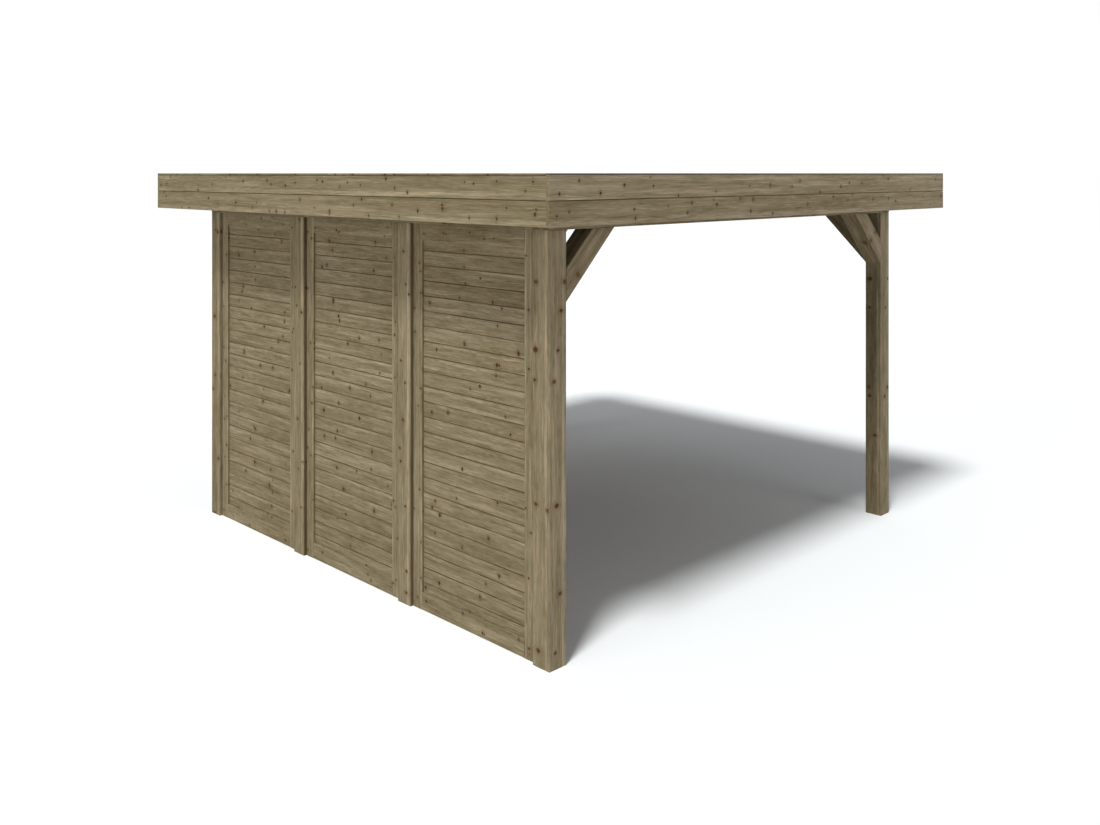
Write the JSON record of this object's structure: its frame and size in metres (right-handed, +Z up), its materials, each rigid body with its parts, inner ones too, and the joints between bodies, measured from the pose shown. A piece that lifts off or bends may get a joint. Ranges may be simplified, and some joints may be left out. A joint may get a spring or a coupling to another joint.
{
  "type": "flat-roofed garden gazebo",
  "caption": "Square timber gazebo with a flat boarded roof edge, planed posts, knee braces, open sides and a side closed by framed board panels.",
  "frame": {"origin": "centre of the footprint on the ground", "axes": "+X along the front to the right, +Y from the front to the back, +Z up; the boarded side faces -X"},
  "size_m": [4, 4, 2.44],
  "materials": {
    "post_timber": "planed pressure-treated pine",
    "panel_timber": "planed pressure-treated pine",
    "boarding_timber": "planed pressure-treated pine boards",
    "fascia_timber": "planed pressure-treated pine",
    "roof_timber": "planed pressure-treated pine",
    "deck_timber": "planed pine boards",
    "roofing_felt": "matt mineral felt"
  },
  "bodies": {
    "root": {"beam_back": "post_timber", "beam_front": "post_timber", "beam_left": "post_timber", "beam_right": "post_timber", "brace_back_left": "post_timber", "brace_back_right": "post_timber", "brace_front_left": "post_timber", "brace_front_right": "post_timber", "brace_right_back": "post_timber", "brace_right_front": "post_timber", "fascia_back_lower": "fascia_timber", "fascia_back_upper": "fascia_timber", "fascia_front_lower": "fascia_timber", "fascia_front_upper": "fascia_timber", "fascia_left_lower": "fascia_timber", "fascia_left_upper": "fascia_timber", "fascia_right_lower": "fascia_timber", "fascia_right_upper": "fascia_timber", "lath_left": "fascia_timber", "lath_right": "fascia_timber", "lookouts_back": "roof_timber", "lookouts_front": "roof_timber", "panel_1_boarding": "boarding_timber", "panel_1_rails": "panel_timber", "panel_1_stiles": "panel_timber", "panel_2_boarding": "boarding_timber", "panel_2_rails": "panel_timber", "panel_2_stiles": "panel_timber", "panel_3_boarding": "boarding_timber", "panel_3_rails": "panel_timber", "panel_3_stiles": "panel_timber", "post_back_left": "post_timber", "post_back_right": "post_timber", "post_front_left": "post_timber", "post_front_right": "post_timber", "post_wall_1": "post_timber", "post_wall_2": "post_timber", "rafters": "roof_timber", "rim_back": "roof_timber", "rim_front": "roof_timber", "rim_left": "roof_timber", "rim_right": "roof_timber", "roof_deck": "deck_timber", "roof_felt": "roofing_felt"}
  },
  "joints": []
}
